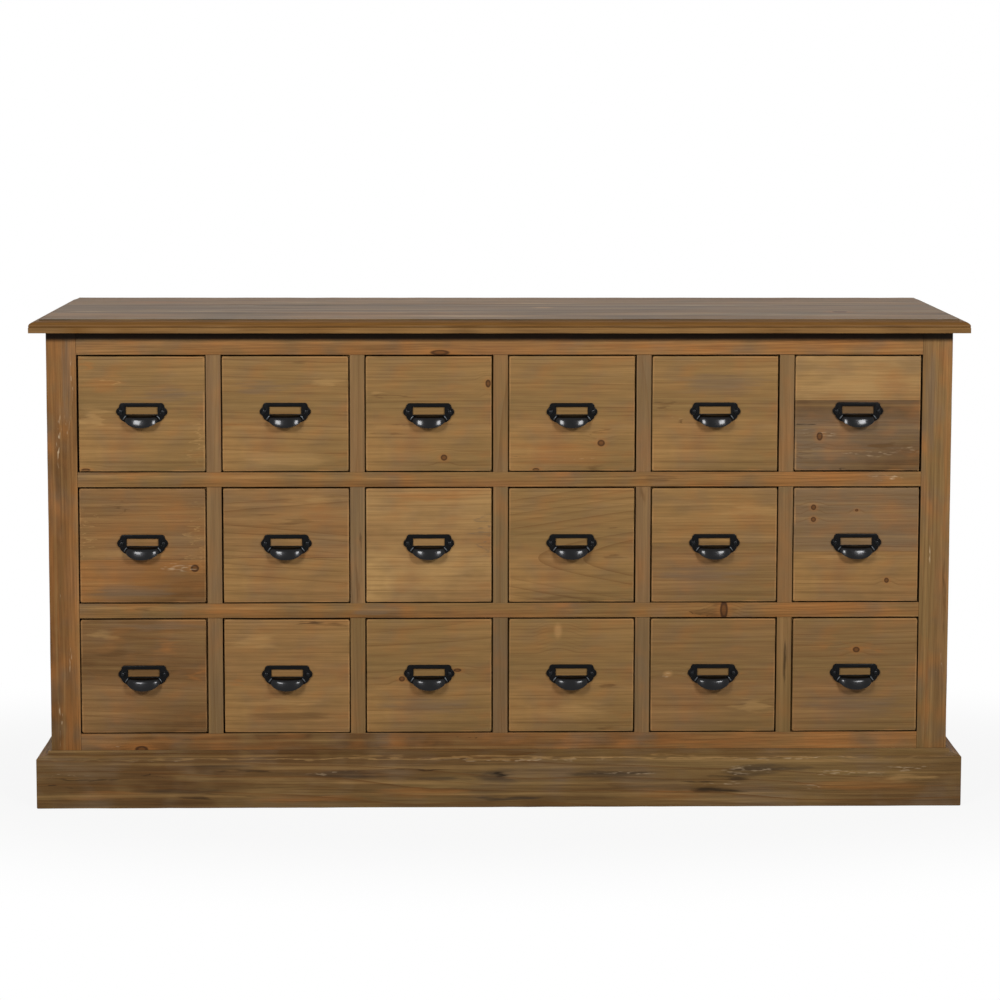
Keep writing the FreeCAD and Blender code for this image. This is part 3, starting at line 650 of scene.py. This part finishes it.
# Drawer fronts: each sawn from another board, so that no two match, with rubbed arrises and a rebate behind
# for the drawer's sides. They hang a little unevenly in their openings, as fitted drawers do.
# Light tone, dark tone, growth (pith behind and above, ring width, taper), seams and marks (kind, across, up,
# width, height) of each front, from left to right
front_looks = {
    "top": (
        ("honey", "olive", (55, 260, 8.5, 0.01), (), (
            ("orange", -66, 58, 96, 38), ("orange", -112, 96, 34, 34), ("light", -50, 62, 18, 12),
            # The narrow light strip at the right edge, at 114 across, is a painted highlight on the arris
            ("light", 114, -50, 14, 120), ("light", -95, -6, 60, 60), ("grey", 60, 38, 130, 44),
            ("knot", -108, -109, 20, 8))),
        ("honey", "olive", (60, 150, 12, -0.02), (), (
            ("dark", 30, 100, 70, 8), ("light", 77, 61, 60, 20), ("orange", -110, -27, 26, 34),
            ("light", 3, -90, 236, 38), ("grey", -45, 52, 120, 34))),
        ("honey", "olive", (45, 300, 6.5, 0.01), (), (
            ("red_knot", 29, -85, 15, 14), ("knot", 114, 59, 12, 18), ("dark", -50, 33, 140, 4),
            ("dark", -30, -20, 210, 4), ("dark", -80, -38, 70, 4), ("light", -88, 41, 66, 14))),
        ("honey", "olive", (50, -260, 7.5, 0.015), (), (
            ("orange", -20, -80, 250, 70), ("dark", 53, -34, 22, 22), ("red_knot", 56, -57, 17, 15),
            ("chip", 58, -52, 14, 12), ("orange", -114, -40, 10, 26), ("black", -107, -83, 22, 4),
            ("knot", -70, -109, 16, 8), ("dark", 39, -104, 60, 16), ("chip", 14, -86, 52, 5))),
        ("honey", "olive", (120, 300, 12, 0), (), (
            ("dark", -100, 16, 22, 28), ("chip", -70, -7, 44, 9), ("dark", -60, -14, 16, 10),
            ("grey", 10, 60, 200, 60))),
        ("grey", "umber", (60, 300, 6.5, 0), ((26, "straw"),), (
            ("red_knot", -74, -44, 14, 20), ("chip", -72, -40, 30, 16), ("black", -110, -21, 26, 4),
            ("chip", 28, -78, 110, 11), ("chip", 93, -70, 44, 11), ("dark", 57, -64, 60, 16),
            ("black", -28, -108, 18, 7), ("dark", -116, -75, 14, 44), ("light", -30, 60, 180, 60))),
    ),
    "middle": (
        ("amber", "umber", (50, 260, 8, 0.01), ((-27, "tan"),), (
            ("dark", -45, 76, 16, 38), ("knot", 100, -44, 19, 17), ("chip", 72, -44, 46, 28),
            # The two narrow light strips at the side edges are painted highlights on the arrises
            ("light", -117, 10, 9, 180), ("light", 116, 20, 9, 200), ("light", -20, -18, 230, 18),
            ("grey", -30, -90, 200, 34))),
        ("honey", "tan", (50, 120, 10, -0.06), ((-24, "tan"),), (
            ("dark", 0, 47, 150, 6), ("dark", -30, 60, 120, 6), ("light", 60, 90, 120, 26))),
        ("straw", "tan", (60, 240, 9, 0.01), (), (
            ("orange", 0, 98, 240, 24), ("light", 0, -48, 220, 46), ("grey", 112, 20, 18, 130))),
        ("honey", "olive", (34, -26, 13, -0.14), (), (
            ("dark", 85, 34, 40, 9), ("dark", 87, -22, 44, 10), ("dark", -20, -104, 220, 10))),
        ("tan", "olive", (60, 300, 6.5, 0.01), ((4, "honey"),), (
            ("light", 70, 70, 110, 34), ("grey", -20, -60, 200, 60))),
        ("honey", "tan", (65, 260, 8, 0), ((-13, "grey"),), (
            ("red_knot", -84, 74, 12, 13), ("red_knot", -84, 50, 12, 12), ("red_knot", 0, 68, 8, 6),
            ("red_knot", 60, -70, 11, 12), ("light", 0, -24, 230, 12))),
    ),
    "bottom": (
        ("tan", "umber", (60, 160, 10, -0.05), (), (
            ("orange", 104, 2, 40, 44), ("orange", 40, 60, 70, 50), ("dark", -50, 46, 120, 14),
            ("light", -84, 82, 70, 26), ("grey", 30, 100, 200, 20))),
        ("honey", "tan", (45, 320, 7.5, 0), (), (
            ("black", 40, 104, 80, 8), ("dark", 90, 103, 70, 10), ("orange", -105, -10, 16, 24),
            ("light", 0, -52, 240, 15), ("dark", 0, -78, 244, 22), ("light", -60, 70, 110, 50))),
        ("honey", "olive", (100, 120, 11, 0.03), (), (
            ("red_knot", -53, -6, 14, 12), ("red_knot", 55, 11, 18, 8), ("grey", 0, -60, 200, 50))),
        ("honey", "olive", (45, 280, 6.5, 0.01), (), (
            ("light_knot", -26, 88, 22, 40), ("dark", 72, -20, 56, 8), ("dark", 80, -105, 64, 8),
            ("light", 0, -70, 200, 40))),
        ("tan", "olive", (90, 300, 10, 0.01), (), (
            ("light_knot", -88, 3, 26, 16), ("chip", -88, 3, 28, 16), ("orange", -54, 3, 26, 9),
            ("orange", 54, 3, 26, 9), ("light", 80, -60, 70, 44))),
        ("tan", "olive", (60, 200, 10, 0.02), (), (
            ("orange", 3, 54, 56, 30), ("red_knot", 3, 50, 16, 13), ("orange", -58, 56, 34, 18),
            ("orange", 40, 46, 22, 14), ("grey", 0, -60, 220, 70))),
    ),
}
# Shift sideways and up in millimetres, and lean in degrees, of each front in its opening
front_hangs = {
    "top": ((0.9, -0.2, 0.05), (0.0, 0.0, 0.0), (-0.5, 0.1, 0.0), (-0.7, 0.3, -0.06), (-0.6, 0.1, 0.0),
            (-0.9, 0.4, 0.14)),
    "middle": ((-0.3, 0.1, 0.08), (0.6, 0.0, 0.0), (-0.4, 0.2, -0.1), (-0.5, 0.0, 0.0), (0.3, -0.2, -0.08),
               (-0.6, 0.2, 0.0)),
    "bottom": ((-0.8, 0.1, -0.1), (0.7, -0.3, 0.1), (0.0, 0.0, 0.0), (0.2, 0.2, 0.06), (-0.3, 0.0, 0.0),
               (0.8, 0.1, -0.08)),
}
lap = 8.0 * mm
side_thickness = 12.0 * mm
front_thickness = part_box("left_stile")[1].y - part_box("left_stile")[0].y
front_ease = 2.0 * mm
corner_ease = 3.6 * mm
# The front's foot is above the undersides of its drawer's sides, and its head is below the rail
foot_rise = 1.4 * mm
head_gap = 2.8 * mm
same_place = 1e-6
# Radians between two faces that meet in an arris, and how squarely a face has to look back
arris_turn = 1.0
looks_back = 0.9


def drawer_front(low, high, seed):
    shape = bmesh.new()
    size = Vector((high.x - low.x, lap, high.z - low.z))
    centre = Vector(((low.x + high.x) / 2, low.y + lap / 2, (low.z + high.z) / 2))
    place = Matrix.Translation(centre) @ Matrix.Diagonal((*size, 1.0))
    bmesh.ops.create_cube(shape, size=1.0, matrix=place)
    corners = [e for e in shape.edges if abs(e.verts[0].co.y - e.verts[1].co.y) > lap / 2]
    eased(shape, corners, corner_ease)
    for x, sign in ((low.x + side_thickness, 1), (high.x - side_thickness, -1)):
        cut(shape, (x, 0, 0), (sign, 0, 0))
    tongue = [f for f in shape.faces
              if f.normal.y > looks_back and abs(f.calc_center_median().x - centre.x) < mm]
    grown = bmesh.ops.extrude_discrete_faces(shape, faces=tongue)["faces"]
    for face in grown:
        bmesh.ops.translate(shape, verts=face.verts[:], vec=(0, front_thickness - lap, 0))
    shape.faces.ensure_lookup_table()
    rim_edges = []
    for edge in shape.edges:
        on_face = all(abs(v.co.y - low.y) < same_place for v in edge.verts)
        if on_face and len(edge.link_faces) == 2 and edge.calc_face_angle(0.0) > arris_turn:
            rim_edges.append(edge)
    eased(shape, rim_edges, front_ease)
    for axis in (axis_x, axis_z):
        sliced(shape, axis, step=24 * mm)
    worn(shape, depth=0.45 * mm, seed=seed, length=50 * mm)
    return shape


def hung(shape, centre, hang):
    # Moves and leans a shape with its drawer's front
    across, up, lean = hang
    turned(shape, math.radians(lean), "Y", centre)
    moved(shape, (across * mm, 0, up * mm))


# Arrises rubbed through to fresher wood, a band that also paints a highlight along them, and painted shade
# with old wax and dust on the faces inside the gaps
front_bands = (("rim", -3.6, 1.0, 1.6, "fresh", 0.32),
               ("depth", 2.2, front_thickness / mm - 1.0, 1.4, "walnut_and_shade", 0.88))
drawers = []
for row in row_names:
    for column in range(1, columns + 1):
        node = f"{row}_drawer_{column}"
        box_low, box_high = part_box(node)
        low = Vector((box_low.x, box_low.y, box_low.z + foot_rise))
        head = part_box(rail_order[row_names.index(row) + 1])[0].z - head_gap
        high = Vector((box_high.x, box_high.y, head))
        centre = Vector(((low.x + high.x) / 2, low.y, (low.z + high.z) / 2))
        drawers.append((row, column, node, f"drawer_{row}_{column}", low, high, centre, box_low, box_high))
for index, (row, column, node, body, low, high, centre, box_low, box_high) in enumerate(drawers):
    light, dark, growth, seams, spots = front_looks[row][column - 1]
    half_width, half_height = (high.x - low.x) / 2 / mm, (high.z - low.z) / 2 / mm
    behind, above_middle, ring, taper = growth
    front_pine = pine(f"old_pine_{row}_front_{column}", light, dark, centre=tuple(centre),
                      pith=(behind, above_middle), ring=ring, taper=taper, seams=seams, spots=spots,
                      rim=(half_width, -half_height, half_height), bands=front_bands)
    shape = drawer_front(low, high, seed=31.0 + index)
    hung(shape, centre, front_hangs[row][column - 1])
    finished(f"{row}_front_{column}", [shape], front_pine, body, "pine_drawer", node)

# Drawer boxes: thin planed pine, two sides and a back round a bottom that lies on two slips. They were never
# waxed, so they are paler than the fronts.
slip_width = 9.0 * mm
slip_height = 10.0 * mm
bottom_thickness = 6.0 * mm
back_drop = 12.0 * mm
box_ease = 0.5 * mm
box_pine = pine("planed_pine_box", "fresh", "honey", grain=(0.0, 0.0, math.pi / 2), pith=(45.0, 120.0),
                ring=7.0, contrast=0.6, tints=planed_tints, roughness=0.66)
for row, column, node, body, low, high, centre, box_low, box_high in drawers:
    lap_back = low.y + lap
    front_back = low.y + front_thickness
    inner_low = box_low.x + side_thickness
    inner_high = box_high.x - side_thickness
    bottom_under = box_low.z + slip_height
    bottom_top = bottom_under + bottom_thickness
    # Lowest and highest corner of the two sides, the two slips, the bottom and the back, and the axis of
    # each board's long edges
    boards = [
        ((box_low.x, lap_back, box_low.z), (inner_low, box_high.y, box_high.z), axis_y),
        ((inner_high, lap_back, box_low.z), (box_high.x, box_high.y, box_high.z), axis_y),
        ((inner_low, front_back, box_low.z), (inner_low + slip_width, box_high.y, bottom_under), axis_y),
        ((inner_high - slip_width, front_back, box_low.z), (inner_high, box_high.y, bottom_under), axis_y),
        ((inner_low, front_back, bottom_under), (inner_high, box_high.y, bottom_top), axis_x),
        ((inner_low, box_high.y - side_thickness, bottom_top),
         (inner_high, box_high.y, box_high.z - back_drop), axis_x),
    ]
    shapes = [board(Vector(a), Vector(b), along, box_ease, wear=0.0, step=0.0) for a, b, along in boards]
    finished(f"{row}_box_{column}", shapes, box_pine, body, "pine_inside", node)

# Cup pulls: one iron casting each, with a card frame above a rounded finger cup and an ear at each side,
# blackened and lightly oiled. The moulding sand leaves a faint grain, and handling polishes the cup.
# Lengths are in millimetres, and heights are from the crease at the cup's head.
plate_thickness = 3.2
plate_ease = 1.3
plate_top = 23.0
window_half = 30.5
window_top = 15.6
window_foot = 1.0
ear_place = (40.5, 6.0)
ear_radius = 8.5
ear_start = 62
ear_sweep = -116
ear_steps = 10
ear_rim_radius = 5.4
ear_rim_thick = 0.8
lip_half = 37.5
lip_drop = 23.0
hood_roundness = 2.2
# How far below the cup's crease, half how wide and how far out each level of the cup is
hood_levels = ((0.0, 29.5, 3.6), (1.4, 31.0, 9.0), (3.2, 32.3, 12.8), (5.4, 33.4, 15.2), (8.0, 34.4, 16.6),
               (12.0, 35.5, 18.1), (16.0, 36.2, 19.4), (19.5, 36.4, 20.3), (23.0, 36.4, 20.8))
hood_wall = 2.6
bead_start = (29.6, -plate_thickness - 1.4, -1.2)
bead_end = (35.8, -plate_thickness - 1.2, -9.2)
bead_thick = 1.4
screw_radius = 3.8
screw_tall = 1.8
slot_half = 0.45
slot_depth = 0.8
# The slot is pushed in where the dome is higher than this share of its height
slot_from = 0.2
screw_turn = 35


def hood_at(drop):
    for (d0, w0, r0), (d1, w1, r1) in zip(hood_levels, hood_levels[1:]):
        if drop <= d1:
            share = (drop - d0) / (d1 - d0)
            return w0 + (w1 - w0) * share, r0 + (r1 - r0) * share
    return hood_levels[-1][1:]


def card_plate():
    # The frame's outline down its right side, from the top edge round the ear to the cup
    shape = bmesh.new()
    right = [(36.6, plate_top), (39.4, plate_top - 0.4), (41.0, plate_top - 1.6), (42.6, 19.4), (42.9, 17.2),
             (43.8, 15.4)]
    for step in range(ear_steps + 1):
        angle = math.radians(ear_start + ear_sweep * step / ear_steps)
        right.append((ear_place[0] + ear_radius * math.cos(angle),
                      ear_place[1] + ear_radius * math.sin(angle)))
    right += [(43.2, -2.6), (43.0, -4.6), (41.2, -7.8), (38.2, -10.8), (34.6, -13.2), (31.0, -14.4)]
    outline = right + [(-x, z) for x, z in reversed(right)]
    window = [(window_half, window_foot), (window_half, window_top), (-window_half, window_top),
              (-window_half, window_foot)]
    edges = []
    for loop in (outline, window):
        points = [shape.verts.new((x * mm, 0.0, z * mm)) for x, z in loop]
        edges += [shape.edges.new((a, b)) for a, b in zip(points, points[1:] + points[:1])]
    bmesh.ops.triangle_fill(shape, use_beauty=True, use_dissolve=True, edges=edges)
    grown = bmesh.ops.extrude_face_region(shape, geom=shape.faces[:])["geom"]
    bmesh.ops.translate(shape, verts=[g for g in grown if isinstance(g, bmesh.types.BMVert)],
                        vec=(0, -plate_thickness * mm, 0))
    bmesh.ops.recalc_face_normals(shape, faces=shape.faces[:])
    front = [e for e in shape.edges if all(v.co.y < -plate_thickness * mm / 2 for v in e.verts)
             and e.calc_face_angle(0.0) > arris_turn]
    eased(shape, front, plate_ease * mm, clamp_overlap=True)
    return shape


def hood():
    # A grid bent round the cup: its rows run down from the crease to the lip, which is half an ellipse
    shape = bmesh.new()
    bmesh.ops.create_grid(shape, x_segments=40, y_segments=14, size=1.0)
    for vertex in shape.verts:
        angle = math.pi * (1 - vertex.co.x) / 2
        down = (1 - vertex.co.y) / 2
        across = math.copysign(abs(math.cos(angle)) ** (2 / hood_roundness), math.cos(angle))
        out = max(0.0, math.sin(angle)) ** (2 / hood_roundness)
        edge = across * hood_levels[-1][1] / lip_half
        drop = down * lip_drop * math.sqrt(max(0.0, 1 - edge * edge))
        width, reach = hood_at(drop)
        vertex.co = Vector((across * width * mm, -out * reach * mm, -drop * mm))
    bmesh.ops.recalc_face_normals(shape, faces=shape.faces[:])
    middle = min(shape.faces, key=lambda f: f.calc_center_median().y)
    if middle.normal.y > 0:
        bmesh.ops.reverse_faces(shape, faces=shape.faces[:])
    bmesh.ops.solidify(shape, geom=shape.faces[:], thickness=hood_wall * mm)
    bmesh.ops.recalc_face_normals(shape, faces=shape.faces[:])
    return shape


def bead(side):
    # A small half-round bead in the crease between the cup and the plate
    shape = bmesh.new()
    start, end = (Vector((side * x, y, z)) * mm for x, y, z in (bead_start, bead_end))
    run = end - start
    bmesh.ops.create_uvsphere(shape, u_segments=12, v_segments=8, radius=1.0)
    turn = run.to_track_quat("Z", "Y").to_matrix().to_4x4()
    size = Matrix.Diagonal((bead_thick * mm, bead_thick * mm, run.length / 2, 1.0))
    place = Matrix.Translation((start + end) / 2) @ turn @ size
    bmesh.ops.transform(shape, matrix=place, verts=shape.verts[:])
    return shape


def ear_ring(side):
    # Raised rim round the screw's seat
    shape = bmesh.new()
    middle = Vector((side * ear_place[0], -plate_thickness, ear_place[1])) * mm
    bmesh.ops.create_circle(shape, cap_ends=False, segments=10, radius=ear_rim_thick * mm)
    moved(shape, (ear_rim_radius * mm, 0, 0))
    bmesh.ops.spin(shape, geom=shape.verts[:] + shape.edges[:], cent=(0, 0, 0), axis=(0, 1, 0),
                   angle=2 * math.pi, steps=24, use_merge=True)
    bmesh.ops.remove_doubles(shape, verts=shape.verts[:], dist=same_place)
    moved(shape, middle)
    return shape


def screw(side):
    # Low domed head with a driver's slot: the dome is cut along the slot, whose points are then pushed in
    shape = bmesh.new()
    radius, tall, half, deep = (length * mm for length in (screw_radius, screw_tall, slot_half, slot_depth))
    bmesh.ops.create_uvsphere(shape, u_segments=24, v_segments=12, radius=radius)
    turned(shape, math.pi / 2, "X")
    bmesh.ops.scale(shape, verts=shape.verts[:], vec=(1, tall / radius, 1))
    for x in (-2 * half, -half, half, 2 * half):
        cut(shape, (x, 0, 0), (1, 0, 0), dist=same_plane)
    for vertex in shape.verts:
        if abs(vertex.co.x) < half + same_place and vertex.co.y < -slot_from * tall:
            vertex.co.y = min(0.0, vertex.co.y + deep)
    turned(shape, math.radians(screw_turn * side), "Y")
    moved(shape, Vector((side * ear_place[0], -plate_thickness, ear_place[1])) * mm)
    return shape


def blackened_iron(name, tone, other_tone, roughness, coat):
    # Blackened cast iron, lightly oiled: a near-black that mirrors the lamps as small bright spots, with a
    # sandy grain that is drawn twice as coarse as it is
    sand_size = 2.2 * mm
    blotch_size = 14 * mm
    material = bpy.data.materials.new(name)
    material.use_nodes = True
    tree = material.node_tree
    tree.nodes.clear()
    place = add(tree, "TexCoord").node.outputs["Object"]
    sand = add(tree, "TexNoise", {"Vector": place, "Scale": 1 / sand_size, "Detail": 3.0})
    blotch = add(tree, "TexNoise", {"Vector": place, "Scale": 1 / blotch_size, "Detail": 2.0})
    share = add(tree, "MapRange", {"Value": blotch, "From Min": 0.35, "From Max": 0.7})
    colour = add(tree, "Mix", {"Factor": share, "A": linear(tone), "B": linear(other_tone)}, data_type="RGBA")
    rough = add(tree, "MapRange", {"Value": sand, "To Min": roughness - 0.08, "To Max": roughness + 0.1})
    normal = add(tree, "Bump", {"Height": sand, "Strength": 0.5, "Distance": 0.06 * mm})
    shader = add(tree, "BsdfPrincipled", {"Base Color": colour, "Roughness": rough, "Normal": normal,
                                          "Metallic": 0.9, "Coat Weight": coat, "Coat Roughness": 0.14})
    surface = tree.nodes.new("ShaderNodeOutputMaterial")
    tree.links.new(shader, surface.inputs["Surface"])
    return material


# The cup is polished by handling, the plate is duller, and the beads beside the cup are rubbed nearly bare
cup_iron = blackened_iron("handled_cast_iron", "#0e0e10", "#09090a", 0.23, 0.28)
plate_iron = blackened_iron("blackened_cast_iron", "#0c0c0d", "#070708", 0.34, 0.05)
screw_iron = blackened_iron("blackened_screw", "#1a1b1d", "#101113", 0.36, 0.15)
rubbed_iron = blackened_iron("rubbed_iron_beads", "#5a5d60", "#404346", 0.4, 0.0)
# Each pull was screwed on by hand: how far it sits above the place that the solids have, in millimetres
pull_lifts = {
    "top": (1.5, 1.5, 0.4, 0.4, 1.5, 1.5),
    "middle": (1.5, 1.5, 1.2, 1.5, 1.5, 1.5),
    "bottom": (1.5, 1.2, 1.5, 1.5, 1.5, 1.5),
}
casting_smooth = 50.0
for row, column, node, body, low, high, centre, box_low, box_high in drawers:
    pull_node = f"{row}_pull_{column}"
    pull_low, pull_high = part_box(pull_node)
    lift = pull_lifts[row][column - 1] * mm
    seat = Vector(((pull_low.x + pull_high.x) / 2, low.y, pull_high.z - plate_top * mm + lift))
    hang = front_hangs[row][column - 1]
    plate = [card_plate(), ear_ring(-1), ear_ring(1)]
    cup = [hood()]
    beads = [bead(-1), bead(1)]
    heads = [screw(-1), screw(1)]
    for shape in plate + cup + beads + heads:
        moved(shape, seat)
        hung(shape, centre, hang)
    finished(f"{row}_card_plate_{column}", plate, plate_iron, body, "dark_iron", pull_node,
             smooth_angle=casting_smooth)
    finished(f"{row}_finger_cup_{column}", cup, cup_iron, body, "dark_iron", pull_node,
             smooth_angle=casting_smooth)
    finished(f"{row}_beads_{column}", beads, rubbed_iron, body, "dark_iron", pull_node)
    finished(f"{row}_screws_{column}", heads, screw_iron, body, "dark_iron", pull_node)

# Studio: a pale floor that runs out to white, two large soft lamps in front and a weak even light all round.
floor_half = 30.0
floor_shape = bmesh.new()
bmesh.ops.create_grid(floor_shape, x_segments=1, y_segments=1, size=floor_half)
floor_mesh = bpy.data.meshes.new("studio_floor")
floor_shape.to_mesh(floor_mesh)
floor_shape.free()
floor = bpy.data.objects.new("studio_floor", floor_mesh)
bpy.context.scene.collection.objects.link(floor)
floor_paint = bpy.data.materials.new("white_floor_paint")
floor_paint.use_nodes = True
tree = floor_paint.node_tree
tree.nodes.clear()
rays = add(tree, "LightPath").node.outputs
matt = add(tree, "BsdfDiffuse", {"Color": (0.5, 0.5, 0.5, 1.0)})
glow = add(tree, "Emission", {"Color": (1.0, 1.0, 1.0, 1.0), "Strength": 1.0})
seen = add(tree, "Math", {0: rays["Is Camera Ray"], 1: rays["Is Glossy Ray"]}, operation="MAXIMUM")
# The shadow shows near the object, and the floor turns white further out. The shadow's patch is much wider
# than it is deep.
patch_scale = (0.9, 2.4, 1.0)
place = add(tree, "TexCoord").node.outputs["Object"]
away = add(tree, "VectorMath", {0: place, 1: patch_scale}, operation="MULTIPLY")
away = add(tree, "VectorMath", {0: away}, operation="LENGTH")
fade = add(tree, "MapRange", {"Value": away, "From Min": 0.9, "From Max": 1.9, "To Min": 0.9, "To Max": 1.0},
           interpolation_type="SMOOTHSTEP")
glow_share = add(tree, "Math", {0: seen, 1: fade}, operation="MULTIPLY")
mixed = add(tree, "MixShader", {"Fac": glow_share, 1: matt, 2: glow})
tree.links.new(mixed, tree.nodes.new("ShaderNodeOutputMaterial").inputs["Surface"])
floor_mesh.materials.append(floor_paint)

world = bpy.data.worlds.new("studio")
bpy.context.scene.world = world
world.use_nodes = True
tree = world.node_tree
tree.nodes.clear()
rays = add(tree, "LightPath").node.outputs
seen = add(tree, "Math", {0: rays["Is Camera Ray"], 1: rays["Is Glossy Ray"]}, operation="MAXIMUM")
seen = add(tree, "Math", {0: seen, 1: rays["Is Transmission Ray"]}, operation="MAXIMUM")
ambient = 0.11
# The studio's lit back wall keeps the back of the case from going dark
wall_light = 0.9
direction = add(tree, "SeparateXYZ", {"Vector": add(tree, "TexCoord").node.outputs["Generated"]}).node.outputs
even = add(tree, "MapRange", {"Value": direction["Y"], "From Min": 0.3, "From Max": 0.9, "To Min": ambient,
                              "To Max": wall_light})
strength = add(tree, "MapRange", {"Value": seen, "To Min": even, "To Max": 1.0})
sky = add(tree, "Background", {"Color": (1.0, 1.0, 1.0, 1.0), "Strength": strength})
tree.links.new(sky, tree.nodes.new("ShaderNodeOutputWorld").inputs["Surface"])

lamp_distance = 3.4
lamp_elevation = math.radians(29)
lamp_azimuth = math.radians(33)
# The lamps aim at the front, a little over half way up
aim_height = 0.55
target = Vector((0.0, cad_low.y, cad_high.z * aim_height))
for side in (-1, 1):
    azimuth = side * lamp_azimuth
    lamp = bpy.data.lights.new("softbox", "AREA")
    lamp.shape = "RECTANGLE"
    lamp.size = 0.9
    lamp.size_y = 0.6
    lamp.energy = 65.5
    holder = bpy.data.objects.new("softbox", lamp)
    level = math.cos(lamp_elevation)
    away = Vector((math.sin(azimuth) * level, -math.cos(azimuth) * level, math.sin(lamp_elevation)))
    holder.location = target + away * lamp_distance
    holder.rotation_euler = (-away).to_track_quat("-Z", "Y").to_euler()
    bpy.context.scene.collection.objects.link(holder)

# Camera: fitted to the photograph's lines, so it stands a little left of the middle and looks slightly down.
# Its picture is shifted, which keeps the uprights nearly parallel.
focal_pixels = 2175.9
image_pixels = 1000.0
principal_row = 260.6
sensor = 36.0
eye_from_frame = Vector((-0.0660, -4.1596, 1.3907))
yaw, pitch, roll = (math.radians(angle) for angle in (-0.885, -4.477, -0.093))
axes = Matrix.Rotation(yaw, 3, "Z") @ Matrix.Rotation(pitch, 3, "X") @ Matrix.Rotation(roll, 3, "Y")
right, forward, up = (axes.col[index] for index in range(3))
camera_data = bpy.data.cameras.new("camera")
camera_data.sensor_width = sensor
camera_data.lens = focal_pixels * sensor / image_pixels
camera_data.shift_y = (principal_row - image_pixels / 2) / image_pixels
camera = bpy.data.objects.new("camera", camera_data)
turn = Matrix((right, up, -forward)).transposed()
eye = eye_from_frame + Vector((0.0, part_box("left_stile")[0].y, 0.0))
camera.matrix_world = Matrix.Translation(eye) @ turn.to_4x4()
bpy.context.scene.collection.objects.link(camera)
bpy.context.scene.camera = camera
bpy.context.scene.view_settings.view_transform = "Standard"
